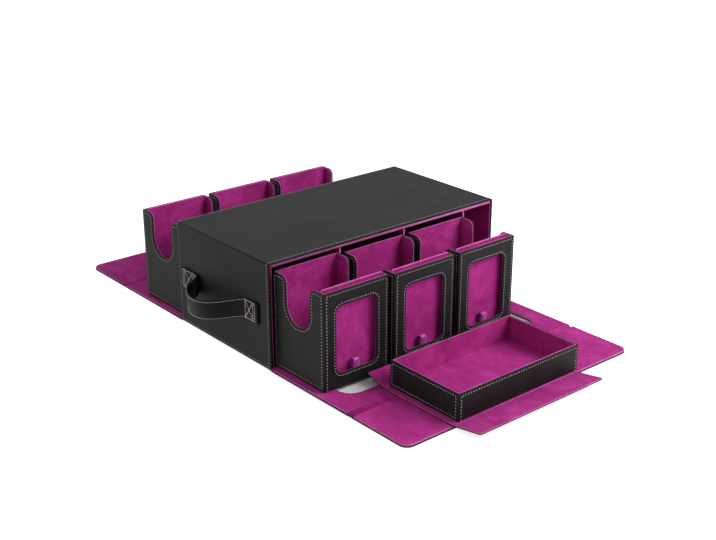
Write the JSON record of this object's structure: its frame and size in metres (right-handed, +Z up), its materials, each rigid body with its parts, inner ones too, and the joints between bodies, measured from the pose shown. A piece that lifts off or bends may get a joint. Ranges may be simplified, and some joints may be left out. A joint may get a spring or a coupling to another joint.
{
  "type": "trading card drawer box",
  "caption": "Flat case laid open, with card drawers on both sides, window fronts, folding flaps, a carrying strap and a dice tray on its fold-up cover.",
  "frame": {"origin": "centre of the casing's underside", "axes": "+X to the right along the front, -Y out of the front, +Z up"},
  "size_m": [0.3866, 0.6766, 0.13],
  "materials": {
    "leatherette": "satin",
    "strap_leatherette": "satin",
    "suede_lining": "matte",
    "ribbon": "satin",
    "magnet_steel": "satin"
  },
  "bodies": {
    "casing": {"casing_shell": "leatherette", "casing_lining": "suede_lining", "keeper_plates": "magnet_steel", "row_partition": "suede_lining", "front_divider_1": "suede_lining", "front_divider_2": "suede_lining", "rear_divider_1": "suede_lining", "rear_divider_2": "suede_lining", "tray_bay_wall": "suede_lining", "handle_strap": "strap_leatherette", "front_flap_hinge_strip": "leatherette", "rear_flap_hinge_strip": "leatherette"},
    "front_flap_inner": {"front_flap_inner_panel": "leatherette", "front_flap_inner_lining": "suede_lining", "front_flap_crease_strip": "leatherette"},
    "front_flap_outer": {"front_flap_outer_panel": "leatherette", "front_flap_outer_lining": "suede_lining", "front_flap_magnets": "magnet_steel"},
    "rear_flap_inner": {"rear_flap_inner_panel": "leatherette", "rear_flap_inner_lining": "suede_lining", "rear_flap_crease_strip": "leatherette"},
    "rear_flap_outer": {"rear_flap_outer_panel": "leatherette", "rear_flap_outer_lining": "suede_lining", "rear_flap_magnets": "magnet_steel"},
    "front_deck_1": {"front_deck_1_shell": "leatherette", "front_deck_1_lining": "suede_lining", "front_deck_1_backing": "suede_lining", "front_deck_1_ribbon": "ribbon"},
    "front_deck_2": {"front_deck_2_shell": "leatherette", "front_deck_2_lining": "suede_lining", "front_deck_2_backing": "suede_lining", "front_deck_2_ribbon": "ribbon"},
    "front_deck_3": {"front_deck_3_shell": "leatherette", "front_deck_3_lining": "suede_lining", "front_deck_3_backing": "suede_lining", "front_deck_3_ribbon": "ribbon"},
    "rear_deck_1": {"rear_deck_1_shell": "leatherette", "rear_deck_1_lining": "suede_lining", "rear_deck_1_backing": "suede_lining", "rear_deck_1_ribbon": "ribbon"},
    "rear_deck_2": {"rear_deck_2_shell": "leatherette", "rear_deck_2_lining": "suede_lining", "rear_deck_2_backing": "suede_lining", "rear_deck_2_ribbon": "ribbon"},
    "rear_deck_3": {"rear_deck_3_shell": "leatherette", "rear_deck_3_lining": "suede_lining", "rear_deck_3_backing": "suede_lining", "rear_deck_3_ribbon": "ribbon"},
    "cover": {"cover_base_panel": "leatherette", "cover_base_lining": "suede_lining"},
    "cover_back_strip": {"cover_back_strip_panel": "leatherette", "cover_back_strip_lining": "suede_lining"},
    "cover_front_strip": {"cover_front_strip_panel": "leatherette", "cover_front_strip_lining": "suede_lining"},
    "tray": {"tray_shell": "leatherette", "tray_lining": "suede_lining"}
  },
  "joints": [
    {"name": "front_deck_1_slide", "type": "slide", "parent": "casing", "child": "front_deck_1", "axis": [0, 1, 0], "range_m": [0, 0.086]},
    {"name": "front_deck_2_slide", "type": "slide", "parent": "casing", "child": "front_deck_2", "axis": [0, 1, 0], "range_m": [0, 0.0905]},
    {"name": "front_deck_3_slide", "type": "slide", "parent": "casing", "child": "front_deck_3", "axis": [0, 1, 0], "range_m": [0, 0.09]},
    {"name": "rear_deck_1_slide", "type": "slide", "parent": "casing", "child": "rear_deck_1", "axis": [0, -1, 0], "range_m": [0, 0.092]},
    {"name": "rear_deck_2_slide", "type": "slide", "parent": "casing", "child": "rear_deck_2", "axis": [0, -1, 0], "range_m": [0, 0.092]},
    {"name": "rear_deck_3_slide", "type": "slide", "parent": "casing", "child": "rear_deck_3", "axis": [0, -1, 0], "range_m": [0, 0.092]},
    {"name": "front_flap_hinge", "type": "hinge", "parent": "casing", "child": "front_flap_inner", "pos_m": [0, -0.094, 0.0004], "axis": [-1, 0, 0], "range_deg": [-90, 0]},
    {"name": "front_flap_crease", "type": "hinge", "parent": "front_flap_inner", "child": "front_flap_outer", "pos_m": [0, -0.2315, 0.0004], "axis": [-1, 0, 0], "range_deg": [-90, 0]},
    {"name": "rear_flap_hinge", "type": "hinge", "parent": "casing", "child": "rear_flap_inner", "pos_m": [0, 0.094, 0.0004], "axis": [1, 0, 0], "range_deg": [-90, 0]},
    {"name": "rear_flap_crease", "type": "hinge", "parent": "rear_flap_inner", "child": "rear_flap_outer", "pos_m": [0, 0.2315, 0.0004], "axis": [1, 0, 0], "range_deg": [-90, 90]},
    {"name": "cover_lift", "type": "slide", "parent": "casing", "child": "cover", "axis": [0, 0, 1], "range_m": [0, 0.12]},
    {"name": "tray_lift", "type": "slide", "parent": "cover", "child": "tray", "axis": [0, 0, 1], "range_m": [0, 0.12]},
    {"name": "cover_back_strip_fold", "type": "hinge", "parent": "cover", "child": "cover_back_strip", "pos_m": [-0.0153, -0.2125, 0.006], "axis": [1, 0, 0], "range_deg": [0, 74.4]},
    {"name": "cover_front_strip_fold", "type": "hinge", "parent": "cover", "child": "cover_front_strip", "pos_m": [-0.0153, -0.3203, 0.006], "axis": [-1, 0, 0], "range_deg": [-12, 80.3]}
  ]
}
